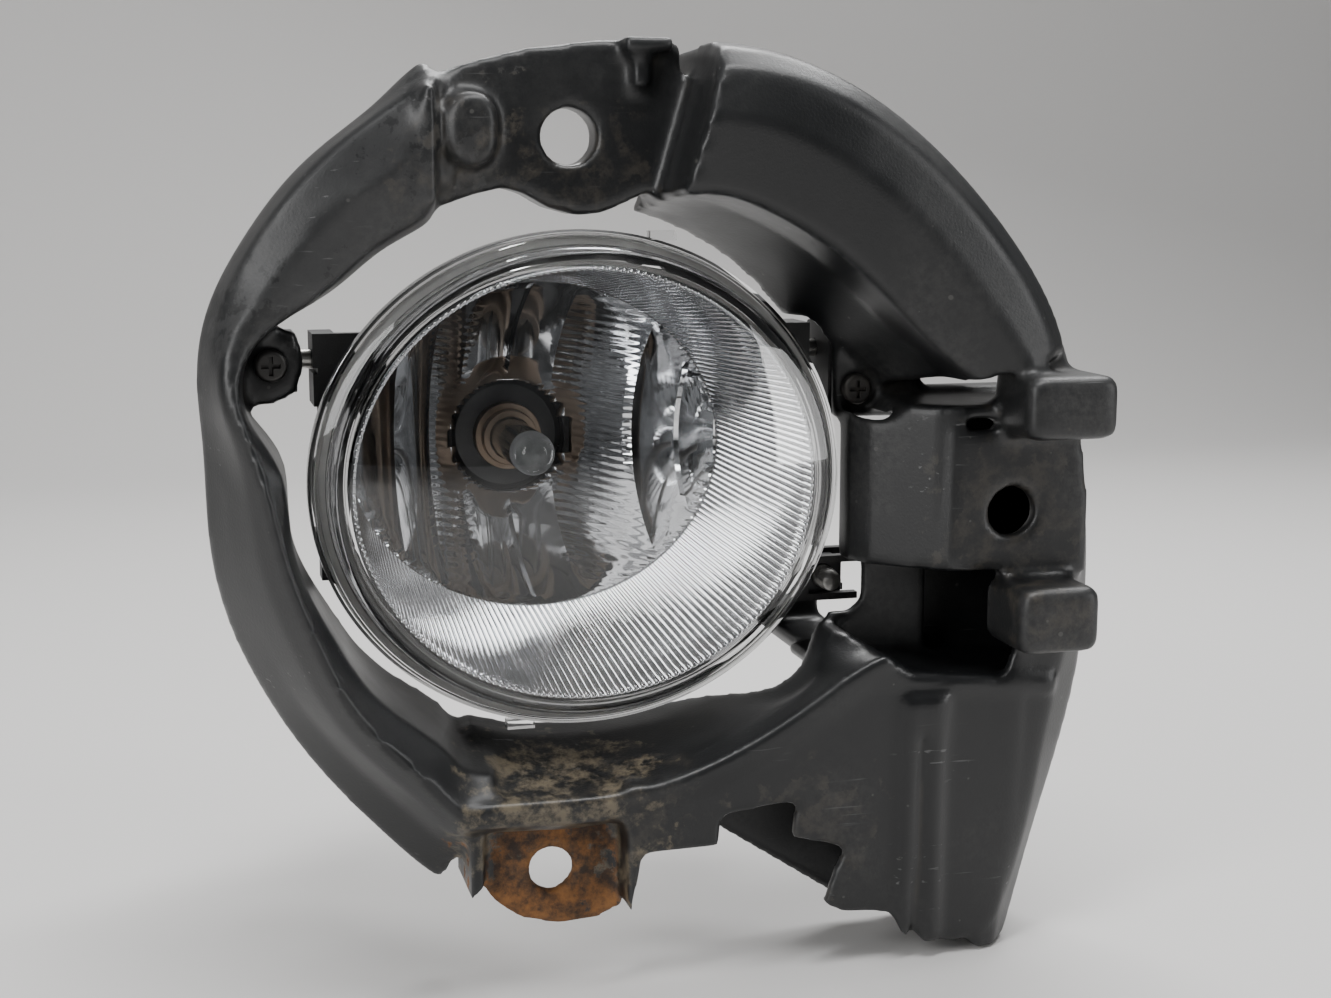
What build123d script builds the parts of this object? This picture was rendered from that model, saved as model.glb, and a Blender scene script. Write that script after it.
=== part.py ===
from build123d import *
from math import cos, hypot, radians, sin
import os

# Frame: origin in the middle of the lens rim, X to the viewer's right, Y to the rear, Z up.
# All lengths are in millimetres.

# Lens and lamp body
RIM_R = 56.3
OVAL = 0.92
LENS_WALL = 2.4
LENS_DOME_Y = -19.0
OPENING_X, OPENING_Z = -8.2, 6.8
OPENING_A, OPENING_B = 39.7, 34.5

# Bulb, parallel to Y
BULB_X, BULB_Z = -7.3, 3.8
BULB_HOLE_R = 13.0
BULB_R = 4.6
GLASS_WALL = 0.8
BULB_TIP_Y = 11.0
NECK_Y = 58.0
NECK_R = 18.0
NECK_BORE_R = 14.6

# Tilt axis and its two pivots
PIVOT_Y, PIVOT_Z = 18.0, 25.0
PIN_R = 2.0
PIN_FIT = 0.05
LEFT_EAR = (-62.5, 25.0)
RIGHT_EAR = (62.0, 17.0)
BLOCK_EDGE = 6.0

# Aiming screw, parallel to Y
AIM_X, AIM_Z = 58.7, -26.3
AIM_R = 2.5
AIM_FIT = 0.05
AIM_HEX_ACROSS = 10.0
LUG_Y = 34.0
LUG_DEPTH = 4.0

# Bracket moulding
WALL = 2.8
TOP_HOLE = (-2.7, 70.3)
TOP_HOLE_R = 5.75
SIDE_HOLE = (88.6, -7.3)
SIDE_HOLE_R = 5.25
LOW_HOLE = (-9.0, -80.6)
LOW_HOLE_R = 4.7
TOP_Y, SIDE_Y, LOW_Y = -4.0, -20.0, -10.0
EAR_Y = 5.0


def front(y, x=0.0, z=0.0):
    """A plane across the lamp axis whose extrusions go towards the viewer."""
    return Plane(origin=(x, y, z), x_dir=(1, 0, 0), z_dir=(0, -1, 0))


def plate(points, y, depth):
    """A flat plate from its front face at y, going back by depth."""
    return extrude(front(y) * Polygon(*points, align=None), amount=depth, dir=(0, 1, 0))


def block(x0, x1, y0, y1, z0, z1):
    """A box between two corners."""
    middle = ((x0 + x1) / 2, (y0 + y1) / 2, (z0 + z1) / 2)
    return Pos(*middle) * Box(x1 - x0, y1 - y0, z1 - z0)


def rod(x, z, r, y0, y1):
    """A round bar along Y."""
    return extrude(front(y0, x, z) * Circle(r), amount=y0 - y1)


def cross_rod(x0, x1, y, z, r):
    """A round bar along X."""
    plane = Plane(origin=(x0, y, z), x_dir=(0, 1, 0), z_dir=(1, 0, 0))
    return extrude(plane * Circle(r), amount=x1 - x0)


def turned(points, oval=1.0, x=0.0, z=0.0):
    """A closed outline of (radius, y) turned about Y and squeezed in height."""
    outline = make_face(Polyline(*[(r, y) for r, y in points], close=True))
    solid = revolve(outline, Axis.Y)
    if oval != 1.0:
        solid = scale(solid, by=(1, 1, oval))
    return Pos(x, 0, z) * solid


def offset_line(points, gap):
    """The open line moved sideways by gap, corners kept sharp."""
    normals = []
    for (ax, ay), (bx, by) in zip(points, points[1:]):
        length = hypot(bx - ax, by - ay)
        normals.append(((by - ay) / length, (ax - bx) / length))
    moved = []
    for i, (px, py) in enumerate(points):
        n0 = normals[max(i - 1, 0)]
        n1 = normals[min(i, len(normals) - 1)]
        sx, sy = n0[0] + n1[0], n0[1] + n1[1]
        share = 2 * gap / (sx * sx + sy * sy)
        moved.append((px + sx * share, py + sy * share))
    return moved


def wall_outline(points, gap=WALL):
    """A strip of even wall under the line, ready to loft."""
    return Polygon(*(points + offset_line(points, gap)[::-1]), align=None)


def radial(angle):
    """The plane through the lamp axis at an angle from +X towards +Z."""
    c, s = cos(radians(angle)), sin(radians(angle))
    return Plane(origin=(0, 0, 0), x_dir=(c, 0, s), z_dir=(-s, 0, c))


def shelf_plate(points, z, depth):
    """A level plate from its underside at z."""
    return extrude(level(z) * Polygon(*points, align=None), amount=depth, dir=(0, 0, 1))


def level(z):
    """A level plane at height z, in plain X and Y."""
    return Plane(origin=(0, 0, z), x_dir=(1, 0, 0), z_dir=(0, 0, 1))


def end_wall(angle, line):
    """A plate that closes the open end of a lofted wall, just inside its skin."""
    face = radial(angle) * Polygon(*offset_line(line, 0.7), align=None)
    return extrude(face, amount=WALL / 2, both=True)


def left_band():
    """Upper left band and left ridge: outer edge, shoulder, slope, crest, bore edge."""
    stations = [
        (106, 87.8, 86.2, 76.4, -11.5, 64.8, -9.5, 61.6),
        (119, 86.6, 85.0, 75.4, -11.5, 64.4, -9.5, 61.2),
        (130, 85.4, 83.8, 75.0, -11.5, 64.8, -9.5, 61.6),
        (141, 84.2, 82.6, 75.0, -11.8, 66.0, -10.0, 63.4),
        (149, 83.6, 81.8, 75.8, -12.6, 69.4, -11.2, 68.2),
        (155, 82.9, 80.8, 77.2, -13.6, 72.8, -13.2, 71.8),
        (161, 81.3, 79.0, 77.0, -14.8, 73.6, -16.2, 72.0),
        (167, 79.0, 76.2, 74.2, -15.6, 70.6, -18.8, 68.6),
        (174, 76.8, 73.4, 70.0, -16.0, 66.5, -21.0, 61.0),
        (186, 76.4, 72.4, 68.0, -16.0, 63.5, -22.0, 59.6),
        (200, 77.2, 72.4, 67.5, -16.0, 62.3, -22.0, 58.8),
        (214, 78.2, 72.8, 68.4, -16.0, 63.7, -22.0, 57.8),
        (228, 80.8, 74.0, 70.0, -16.0, 65.3, -22.0, 57.2),
        (240, 84.8, 76.6, 72.2, -16.0, 67.8, -22.0, 57.2),
        (250, 89.6, 80.0, 73.6, -16.0, 68.6, -22.0, 57.4),
    ]
    sections = []
    for angle, edge, shoulder, slope, slope_y, crest, crest_y, bore in stations:
        line = [
            (edge - 0.6, 13.0),
            (edge, 0.0),
            (shoulder, -8.0),
            (slope, slope_y),
            (crest, crest_y),
            (bore + 0.35 * (crest - bore), crest_y + 7.0),
            (bore, 15.0),
        ]
        sections.append(radial(angle) * wall_outline(line))
    band = loft(sections) + end_wall(248.6, line)
    return band - block(-30.3, 0.0, -20.0, 20.0, 50.0, 90.0)


def trough():
    """The gutter under the lens, from the left ridge round to the leg."""
    stations = [
        (246, 68.4, 57.3, 15.0),
        (254, 64.6, 56.4, 15.0),
        (264, 62.6, 55.6, 15.0),
        (274, 61.8, 55.4, 15.0),
        (284, 61.4, 56.0, 15.0),
        (296, 61.4, 57.6, 13.0),
        (310, 62.8, 61.6, 0.0),
        (322, 66.0, 63.0, 0.0),
        (329, 71.0, 65.0, 0.0),
    ]
    sections = []
    for angle, crest, bore, rear in stations:
        line = [
            (crest + 8.0, -4.0),
            (crest + 8.0, -15.0),
            (crest + 5.0, -20.5),
            (crest, -21.5),
            (crest - 1.2, -15.0),
            (bore + 0.6, rear - 10.0),
            (bore, rear),
        ]
        sections.append(radial(angle) * wall_outline(line))
    return loft(sections)


def right_band():
    """Upper right band: outer wall, broad front face, and the funnel down to the lamp."""
    stations = [
        (75, 91.0, 60.8, 60.0, 56.8),
        (68, 93.6, 63.6, 62.4, 57.0),
        (58, 95.8, 65.0, 63.8, 57.2),
        (46, 97.4, 66.9, 65.8, 57.7),
        (35, 99.2, 69.2, 67.8, 58.0),
        (25, 101.6, 72.4, 72.0, 58.4),
        (15, 103.0, 80.5, 78.5, 61.0),
    ]
    lines = []
    for angle, edge, lip, step, bore in stations:
        line = [
            (edge + 0.2, 12.0),
            (edge + 1.0, -12.0),
            (edge - 0.6, -21.0),
            (edge - 5.0, -26.0),
            ((edge + lip) / 2, -28.0),
            (lip, -25.0),
            (step, -10.0),
            (bore, 15.0),
        ]
        lines.append(line)
    sections = [radial(station[0]) * wall_outline(line) for station, line in zip(stations, lines)]
    return loft(sections) + end_wall(73.8, lines[0]) + end_wall(16.4, lines[-1])


def top_plate():
    """Flat pad for the upper bolt with its collar, key, rib and rolled lower lip."""
    edge = [(-32.0, 81.4), (-22.0, 84.8), (-11.8, 87.4), (4.6, 89.5), (20.6, 88.6)]
    lip = [(19.0, 60.4), (12.8, 58.8), (4.4, 55.2), (-1.0, 54.6), (-7.0, 56.2), (-12.2, 59.2)]
    lip += [(-16.2, 60.2), (-22.3, 58.8), (-32.0, 55.4)]
    pad = plate(edge + lip, TOP_Y, 4.0)
    hem = plate([*lip, *[(x, z + 2.8) for x, z in lip[::-1]]], TOP_Y, 12.0)
    rim = plate([*edge, *[(x, z - 2.8) for x, z in edge[::-1]]], TOP_Y, 16.0)
    collar = rod(*TOP_HOLE, TOP_HOLE_R + 3.0, TOP_Y, TOP_Y + 9.0)
    key_base = Pos(-23.1, TOP_Y - 2.5, 71.5) * Rot(90, 0, 0)
    key = key_base * extrude(SlotOverall(15.0, 10.4, rotation=90), amount=4.0, both=True)
    key = fillet(key.faces().sort_by(Axis.Y)[0].edges(), 2.2)
    rib = block(-33.0, -30.6, -11.5, 8.0, 57.0, 80.4) + block(-28.4, -26.6, -6.5, -2.0, 60.5, 81.5)
    tab = block(8.0, 18.0, -9.0, TOP_Y + 1.0, 87.0, 89.8)
    tongue = block(10.0, 13.5, -7.0, TOP_Y + 1.0, 80.0, 88.0)
    body = pad + hem + rim + collar + key + rib + tab + tongue
    return body - rod(*TOP_HOLE, TOP_HOLE_R, -20, 20)


def low_tab():
    """Bottom bolt tab with its side gussets."""
    outline = [(-24.0, -60.0), (-24.0, -82.0), (-21.0, -86.6), (-15.9, -90.6), (-7.4, -93.0)]
    outline += [(1.2, -92.2), (6.2, -89.6), (6.2, -60.0)]
    body = plate(outline, LOW_Y, 4.0)
    body += plate([(-26.5, -58), (-26.5, -84), (-23.7, -82), (-23.7, -58)], LOW_Y - 4, 20)
    body += plate([(5.2, -60), (5.2, -90), (8.0, -78), (8.0, -60)], LOW_Y - 10, 18)
    return body - rod(*LOW_HOLE, LOW_HOLE_R, -30, 20)


def leg():
    """Lower right leg: stepped front face, side wall, top shelf and rear lip."""
    outline = [(6.0, -62.0), (20.0, -59.0), (30.0, -55.0), (42.0, -48.6), (52.0, -43.4)]
    outline += [(60.0, -42.4), (76.0, -44.4), (92.0, -47.0), (91.0, -70.0), (88.0, -95.0)]
    outline += [(85.2, -99.0), (78.2, -101.6), (71.3, -100.6), (63.1, -93.4), (52.9, -92.6)]
    outline += [(47.9, -90.2), (50.0, -83.6), (53.1, -78.0), (40.4, -74.8), (42.0, -66.6)]
    outline += [(28.3, -67.2), (25.1, -68.4), (24.5, -75.0), (8.0, -75.4), (4.6, -69.6)]
    face = plate(outline, -20.0, WALL)
    groove = plate([(65.4, -46), (68.4, -46), (66.4, -101), (64.0, -95)], -21.6, 3.0)
    groove += plate([(70.4, -46), (74.0, -46), (73.0, -101), (70.0, -101)], -21.6, 3.0)
    sections = []
    side = [
        (28, 92.0, -23.0, 98.5, 102.2, 103.6),
        (14, 95.0, -21.0, 101.5, 106.0, 107.4),
        (0, 97.0, -20.0, 103.5, 108.2, 109.4),
        (-20, 97.0, -20.0, 104.5, 109.8, 111.0),
        (-41, 89.0, -20.0, 101.0, 108.8, 110.4),
        (-66, 88.0, -20.0, 96.0, 103.0, 104.4),
        (-88, 86.0, -20.0, 91.0, 96.6, 98.0),
        (-104, 84.0, -20.0, 87.5, 92.2, 93.4),
    ]
    for z, inner, inner_y, bend, shoulder, edge in side:
        line = [(edge, 13.0), (edge, -4.0), (shoulder, -13.0), (bend, -19.0), (inner, inner_y)]
        sections.append(level(z) * wall_outline(line))
    shelf = plate([(50.0, -43.6), (59.0, -42.4), (76.0, -44.4), (100.0, -46.8), (100.0, -44.0),
                   (76.0, -41.6), (59.0, -39.6), (50.0, -40.8)], -20.5, 34.0)
    shelf += plate([(98.0, -46.6), (108.0, -47.6), (108.0, -44.8), (98.0, -43.8)], -11.0, 24.0)
    foot = plate([(63.0, -94.0), (71.3, -100.8), (78.2, -101.8), (88.0, -101.8), (88.0, -99.0),
                  (78.2, -99.0), (72.0, -98.0), (63.0, -91.2)], -18.0, 25.0)
    foot += block(86.0, 92.8, -10.0, 13.0, -103.6, -100.8)
    stop = block(24.0, 92.0, 5.0, 7.8, -98.0, -58.0)
    stop -= plate([(20, -100), (20, -72), (62, -100)], 0, 20)
    under = plate([(7.0, -75.6), (24.6, -75.2), (25.2, -68.6), (42.0, -66.8), (42.0, -64.0),
                   (22.6, -65.8), (21.8, -72.4), (8.0, -72.8)], -20.0, 25.0)
    return face + groove + loft(sections) + shelf + foot + stop + under


def side_plate():
    """Right bolt plate, its two locating horns and the arm back to the lamp."""
    body = plate([(75, 10), (104, 10), (106, -4), (106, -21), (74, -19)], SIDE_Y, 4.0)
    line = [(77.0, -20.0), (72.0, -17.5), (61.0, -8.0), (58.0, -2.0), (58.0, 4.0)]
    arm = extrude(level(-19.6) * wall_outline(line), amount=35.0, dir=(0, 0, 1))
    floor = [(58.4, -1.0), (61.8, -8), (72.4, -17.2), (77, -19.6), (106, -18), (106, 10), (66, 11)]
    roof = shelf_plate(floor, 12.6, WALL)
    sill = shelf_plate(floor, -19.6, WALL)
    horns = horn(85.4, 105.6, 9.2, 22.4) + horn(85.0, 103.0, -35.4, -21.4)
    back = block(78.0, 109.0, 9.0, 11.8, -44.0, 14.0)
    body = body + arm + roof + sill + horns + back
    return body - rod(*SIDE_HOLE, SIDE_HOLE_R, -30, 20)


def window_wall():
    """Wall under and beside the small window to the right of the lens."""
    edge = [(63.5, -17.0), (78.6, -17.0), (78.6, -43.6), (56.0, -41.4), (56.0, -32.0), (61.0, -32.0)]
    return plate([*edge, (63.5, -29.5)], 2.0, WALL)


def horn(x0, x1, z0, z1):
    """A rounded locating block standing forward of the right plate."""
    solid = block(x0, x1, -34.0, -15.0, z0, z1)
    return fillet(solid.faces().sort_by(Axis.Y)[0].edges() + solid.edges().filter_by(Axis.Y), 2.6)


def ears():
    """Two screwed ears carrying the tilt pivots and the lug for the aiming screw."""
    left = plate([(-74, 33), (-57, 32), (-55.6, 25), (-57.5, 19), (-62, 17), (-72, 17)], EAR_Y, 3.0)
    right = plate([(57.2, 31), (78, 31), (78, 10.4), (57.2, 10.4)], EAR_Y, 3.0)
    right += block(70, 100, EAR_Y, 12, 14, 17)
    lug = block(AIM_X - 6, AIM_X + 6, LUG_Y, LUG_Y + LUG_DEPTH, -44.0, AIM_Z + 6)
    lug += block(AIM_X - 6, AIM_X + 9, 10, LUG_Y + LUG_DEPTH, -44.0, -41.0)
    lug -= rod(AIM_X, AIM_Z, AIM_R + 0.1, LUG_Y - 5, LUG_Y + 10)
    return left + right + lug


def mounting_bracket():
    """The whole bracket as one moulding."""
    shell = left_band() + trough() + right_band() + top_plate()
    shell = shell + low_tab() + leg() + side_plate() + window_wall()
    room = BLOCK_EDGE + 1.4
    for x0, x1, low in ((-68.0, -54.5, LEFT_EAR[1]), (47.5, 68.0, RIGHT_EAR[1])):
        shell -= block(x0, x1, EAR_Y + 3.0, 24.0, low - room, PIVOT_Z + room)
    shell -= rod(*RIGHT_EAR, 5.4, -20.0, EAR_Y)
    shell += ears()
    for ear in (LEFT_EAR, RIGHT_EAR):
        shell -= rod(*ear, 1.7, 0, 20)
    return shell


def lens_cover():
    """Clear cover: stepped rim, shoulder, shallow dome and two locating tabs."""
    steps = [(0, LENS_DOME_Y + LENS_WALL), (0, LENS_DOME_Y)]
    dome = ThreePointArc((0, LENS_DOME_Y), (27.0, -16.6), (50.2, -9.6))
    rim = Polyline((50.2, -9.6), (52.0, -8.2), (52.8, -5.4), (54.6, -4.4), (55.2, -2.2),
                   (RIM_R, -1.2), (RIM_R, 3.0), (53.9, 3.0), (53.9, -0.6), (51.9, -0.6),
                   (51.4, -3.2), (50.0, -4.6), (48.4, -7.8))
    inside = ThreePointArc((48.4, -7.8), (26.0, -14.3), (0, LENS_DOME_Y + LENS_WALL))
    outline = make_face(Line(*steps) + dome + rim + inside)
    shell = scale(revolve(outline, Axis.Y), by=(1, 1, OVAL))
    bore = turned([(0, -0.7), (53.8, -0.7), (53.8, 5), (0, 5)], OVAL)
    tabs = block(14.8, 20.4, -0.6, 2.6, 46.0, 51.4) + block(-16.3, -10.5, -0.6, 2.6, -52.4, -46.0)
    return shell + (tabs - bore)


def lens_seal():
    """Flat sealing ring between the lens and the housing flange."""
    return turned([(52.0, -0.5), (53.7, -0.5), (53.7, 1.1), (52.0, 1.1)], OVAL)


def ellipse_loft(stations):
    """A smooth body through ovals given as (y, x, z, half width, half height)."""
    return loft([front(y, x, z) * Ellipse(a, b) for y, x, z, a, b in stations])


def lamp_housing():
    """Moulded bucket with its lens flange, bulb neck, vent stub and four arms."""
    outer = ellipse_loft([
        (3.0, 0, 0, 53.0, 48.6),
        (14.0, -3.0, 2.0, 50.5, 46.0),
        (28.0, -6.0, 3.5, 42.0, 38.0),
        (42.0, BULB_X, BULB_Z, 28.0, 27.0),
        (50.0, BULB_X, BULB_Z, 19.5, 19.5),
    ])
    inner = ellipse_loft([
        (1.0, 0, 0, 50.6, 46.2),
        (14.0, -3.0, 2.0, 48.1, 43.6),
        (28.0, -6.0, 3.5, 39.6, 35.6),
        (42.0, BULB_X, BULB_Z, 25.6, 24.6),
        (52.0, BULB_X, BULB_Z, NECK_BORE_R, NECK_BORE_R),
    ])
    body = outer + turned([(50.5, 1.2), (53.4, 1.2), (53.4, 4.2), (50.5, 4.2)], OVAL)
    body += rod(BULB_X, BULB_Z, NECK_R, 46.0, NECK_Y)
    body += rod(20.0, -14.0, 5.0, 30.0, 51.0)
    body += block(-53.5, -48.8, 12, 24, 15.6, 30.6) + block(-50, -41, 12, 15, 15.6, 30.6)
    body += block(-52, -46, 20.6, 24, 13.0, 16.0)
    body += block(49.0, 54.0, 12, 24, 19, 31) + block(30, 51, 12, 15, 19, 31)
    body += block(30, 51, 12, 22, 19, 21.4)
    body += block(-52.5, -43, 17, 23, -22, -11)
    body += block(24, 53.4, 12, 14.3, -31.3, -21.3) + block(24, 53.4, 21.7, 24, -31.3, -21.3)
    body += block(24, 53.4, 12, 24, -27.6, -25.0)
    body += block(51.4, 53.4, 12, 24, -31.3, -21.3)
    body += block(53.0, 66, 12, 14.35, -31.3, -21.3) + block(53.0, 66, 21.65, 24, -31.3, -21.3)
    body -= inner
    body -= rod(BULB_X, BULB_Z, NECK_BORE_R, 40.0, NECK_Y + 1)
    body -= rod(20.0, -14.0, 2.2, 20.0, 55.0)
    body -= cross_rod(-56, -47, PIVOT_Y, PIVOT_Z, PIN_R + PIN_FIT)
    body -= cross_rod(47, 56, PIVOT_Y, PIVOT_Z, PIN_R + PIN_FIT)
    body -= block(54.4, 70, 11, 25, AIM_Z - 3.5, AIM_Z + 3.5)
    body -= block(-54, -52.6, 11, 25, 22.4, 23.6)
    tabs = []
    for i in range(3):
        wedge = Polygon((0, 0), (16, -4.8), (16, 4.8), align=None)
        place = front(52.4, BULB_X, BULB_Z) * Rot(0, 0, 90 + 120 * i)
        tabs.append(extrude(place * wedge, amount=1.8, dir=(0, 1, 0)))
    ring = rod(BULB_X, BULB_Z, NECK_BORE_R + 0.6, 52.4, 54.2) - rod(BULB_X, BULB_Z, 13.2, 50, 56)
    for tab in tabs:
        body += ring & tab
    return body


def bezel():
    """Bright ring from the lens shoulder in to the off-centre reflector mouth."""
    skin = ellipse_loft([(-6.5, 0, 0, 47.8, 44.2),
                         (8.4, OPENING_X, OPENING_Z, OPENING_A + 1.2, OPENING_B + 1.2)])
    hole = ellipse_loft([(-6.5, 0, 0, 46.6, 43.0),
                         (8.4, OPENING_X, OPENING_Z, OPENING_A, OPENING_B)])
    bead = [(46.7, -7.6), (48.1, -7.6), (48.4, -5.4), (49.6, -3.9), (50.7, -2.6), (51.2, -0.4)]
    skirt = [(51.2, 1.0), (50.2, 1.0), (50.0, -0.4), (49.4, -1.8), (48.3, -3.0), (46.7, -4.6)]
    return skin - hole + turned(bead + skirt, 0.9235)


def reflector():
    """Deep bowl behind the bezel, with a flange at its mouth and a collar round the bulb."""
    stations = ((8.6, OPENING_X, OPENING_Z, OPENING_A, OPENING_B), (18.0, -8.0, 6.0, 35.0, 31.0),
                (28.0, -7.8, 5.0, 29.0, 26.6), (38.0, -7.5, 4.2, 21.4, 20.4),
                (45.0, BULB_X, BULB_Z, BULB_HOLE_R, BULB_HOLE_R))
    bowl = ellipse_loft([(y, x, z, a + 1.2, b + 1.2) for y, x, z, a, b in stations])
    flange = extrude(front(8.6, -8.0, 6.5) * Ellipse(41.5, 36.5), amount=-1.2)
    collar = rod(BULB_X, BULB_Z, BULB_HOLE_R + 1.4, 44.0, 48.6)
    cut = ellipse_loft([(y, x, z, a, b) for y, x, z, a, b in stations])
    return bowl + flange + collar - cut - rod(BULB_X, BULB_Z, BULB_HOLE_R, 43.0, 50.0)


def bulb_turned(points):
    """A turned piece of the bulb, on the bulb's own axis."""
    return turned(points, 1.0, BULB_X, BULB_Z)


def bulb_glass():
    """Closed glass tube with a domed tip."""
    outer = rod(BULB_X, BULB_Z, BULB_R, BULB_TIP_Y, 44.0)
    outer = fillet(outer.faces().sort_by(Axis.Y)[0].edges(), BULB_R - 0.6)
    inner = rod(BULB_X, BULB_Z, BULB_R - GLASS_WALL, BULB_TIP_Y + 1.2, 45.0)
    inner = fillet(inner.faces().sort_by(Axis.Y)[0].edges(), BULB_R - 2 * GLASS_WALL)
    return outer - inner


def bulb_filament():
    """Filament coil, as the bar it winds round."""
    return rod(BULB_X, BULB_Z, 0.7, 22.0, 27.0)


def bulb_leads():
    """Two support wires from the base up to the filament."""
    short = rod(BULB_X, BULB_Z - 1.6, 0.35, 26.6, 45.6)
    long = rod(BULB_X, BULB_Z + 1.6, 0.35, 21.0, 45.6)
    return short + long


def bulb_pinch():
    """Pale ceramic plug that closes the glass and holds the support wires."""
    plug = rod(BULB_X, BULB_Z, BULB_R + 0.1, 44.1, 48.0)
    for side in (-1.6, 1.6):
        plug -= rod(BULB_X, BULB_Z + side, 0.4, 40.0, 45.7)
    return plug


def bulb_ferrule():
    """Drawn metal sleeve round the foot of the glass."""
    bore = BULB_R + 0.2
    return bulb_turned([(bore, 41.0), (6.2, 41.0), (6.2, 44.2), (7.6, 44.2), (7.6, 48.0), (bore, 48.0)])


def bulb_base():
    """Twist-lock base with three bayonet lugs, seal groove, grip flange and plug socket."""
    base = bulb_turned([(0, 48.1), (11.6, 48.1), (12.8, 49.2), (12.8, 55.0), (12.0, 55.0),
                        (12.0, 57.6), (12.8, 57.6), (12.8, 58.4), (17.4, 58.4), (17.4, 61.4),
                        (13.0, 61.4), (13.0, 64.0), (0, 64.0)])
    for i in range(3):
        wedge = Polygon((0, 0), (16, -4.2), (16, 4.2), align=None)
        place = front(49.8, BULB_X, BULB_Z) * Rot(0, 0, 90 + 120 * i)
        lug = extrude(place * wedge, amount=2.2, dir=(0, 1, 0))
        base += lug & rod(BULB_X, BULB_Z, 14.3, 49.0, 53.0)
    x, z = BULB_X, BULB_Z
    base += block(x - 9.0, x + 9.0, 61.4, 76.0, z - 14.0, z + 9.0)
    base += block(x - 8.0, x + 8.0, 62.4, 75.0, z - 28.0, z - 10.0)
    base += block(x - 2.2, x + 2.2, 74.0, 77.6, z - 24.0, z - 14.0)
    base -= block(x - 6.4, x + 6.4, 64.2, 73.2, z - 29.0, z - 13.0)
    for side in (-3.0, 3.0):
        base -= block(x + side - 0.45, x + side + 0.45, 67.2, 70.2, z - 13.5, z - 5.0)
    return base


def bulb_seal():
    """Round sealing ring in the base groove."""
    return bulb_turned([(12.1, 55.2), (14.5, 55.2), (14.5, 57.4), (12.1, 57.4)])


def bulb_terminals():
    """Two flat blades in the plug socket."""
    x, z = BULB_X, BULB_Z
    blades = [block(x + s - 0.4, x + s + 0.4, 67.3, 70.1, z - 25.0, z - 5.1) for s in (-3.0, 3.0)]
    return blades[0] + blades[1]


def vent_cap():
    """Soft cap over the housing's breather stub."""
    cap = rod(20.0, -14.0, 6.6, 46.4, 53.6) - rod(20.0, -14.0, 5.05, 40.0, 51.2)
    return fillet(cap.faces().sort_by(Axis.Y)[-1].edges(), 1.2)


def pivot_block(side, ear):
    """Clamp block behind one ear: holds the pivot pin and takes the ear screw."""
    x0, x1 = sorted((side * 66.6, side * 57.0))
    low = min(ear[1], PIVOT_Z) - BLOCK_EDGE
    body = block(x0, x1, EAR_Y + 3.05, 23.2, low, PIVOT_Z + BLOCK_EDGE)
    body = fillet(body.edges().filter_by(Axis.X), 1.6)
    pin0, pin1 = sorted((side * 61.0, side * 50.0))
    body -= cross_rod(pin0, pin1, PIVOT_Y, PIVOT_Z, PIN_R + 0.02)
    return body - rod(*ear, 1.62, 0, 15.2)


def pivot_pins():
    """Two short steel pins on the tilt axis."""
    left = cross_rod(-60.9, -48.0, PIVOT_Y, PIVOT_Z, PIN_R)
    return left + cross_rod(48.0, 60.9, PIVOT_Y, PIVOT_Z, PIN_R)


def ear_screws():
    """Two pan-head screws through the ears, with cross recesses."""
    pair = []
    long, thin = 1.9, 0.4
    for x, z in (LEFT_EAR, RIGHT_EAR):
        head = rod(x, z, 3.3, EAR_Y - 2.4, EAR_Y - 0.05)
        head = fillet(head.faces().sort_by(Axis.Y)[0].edges(), 0.9)
        recess = block(x - long, x + long, 0, EAR_Y - 1.2, z - thin, z + thin)
        recess += block(x - thin, x + thin, 0, EAR_Y - 1.2, z - long, z + long)
        pair.append(head + rod(x, z, 1.58, EAR_Y - 0.1, 15.0) - recess)
    return pair[0] + pair[1]


def aim_screw():
    """Aiming screw: hexagon head behind the lug, clip groove and long thread."""
    head_y = LUG_Y + LUG_DEPTH + 0.3
    hexagon = RegularPolygon(AIM_HEX_ACROSS / 2, 6, major_radius=False)
    head = extrude(front(head_y, AIM_X, AIM_Z) * hexagon, amount=5.0, dir=(0, 1, 0))
    shaft = rod(AIM_X, AIM_Z, AIM_R, 8.6, head_y)
    groove = rod(AIM_X, AIM_Z, 4.0, LUG_Y - 1.5, LUG_Y - 0.3) - rod(AIM_X, AIM_Z, 1.9, 30, 36)
    washer = rod(AIM_X, AIM_Z, 6.2, head_y, head_y + 1.2)
    return head + washer + shaft - groove


def aim_clip():
    """Spring clip in the screw's groove, in front of the lug."""
    y0, y1 = LUG_Y - 1.4, LUG_Y - 0.4
    ring = rod(AIM_X, AIM_Z, 5.0, y0, y1) - rod(AIM_X, AIM_Z, 1.95, y0 - 1, y1 + 1)
    return ring - block(AIM_X - 1.5, AIM_X + 1.5, y0 - 1, y1 + 1, AIM_Z - 6, AIM_Z)


def aim_nut():
    """Square plastic nut that rides on the screw inside the housing's fork."""
    body = block(54.4, 63.2, 14.9, 21.1, AIM_Z - 4.0, AIM_Z + 4.0)
    body = fillet(body.edges().filter_by(Axis.Y), 0.8)
    return body - rod(AIM_X, AIM_Z, AIM_R + AIM_FIT, 10, 26)


def save(name, shape):
    """Writes one node to its own file."""
    export_step(shape, f"parts/{name}.step")


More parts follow.
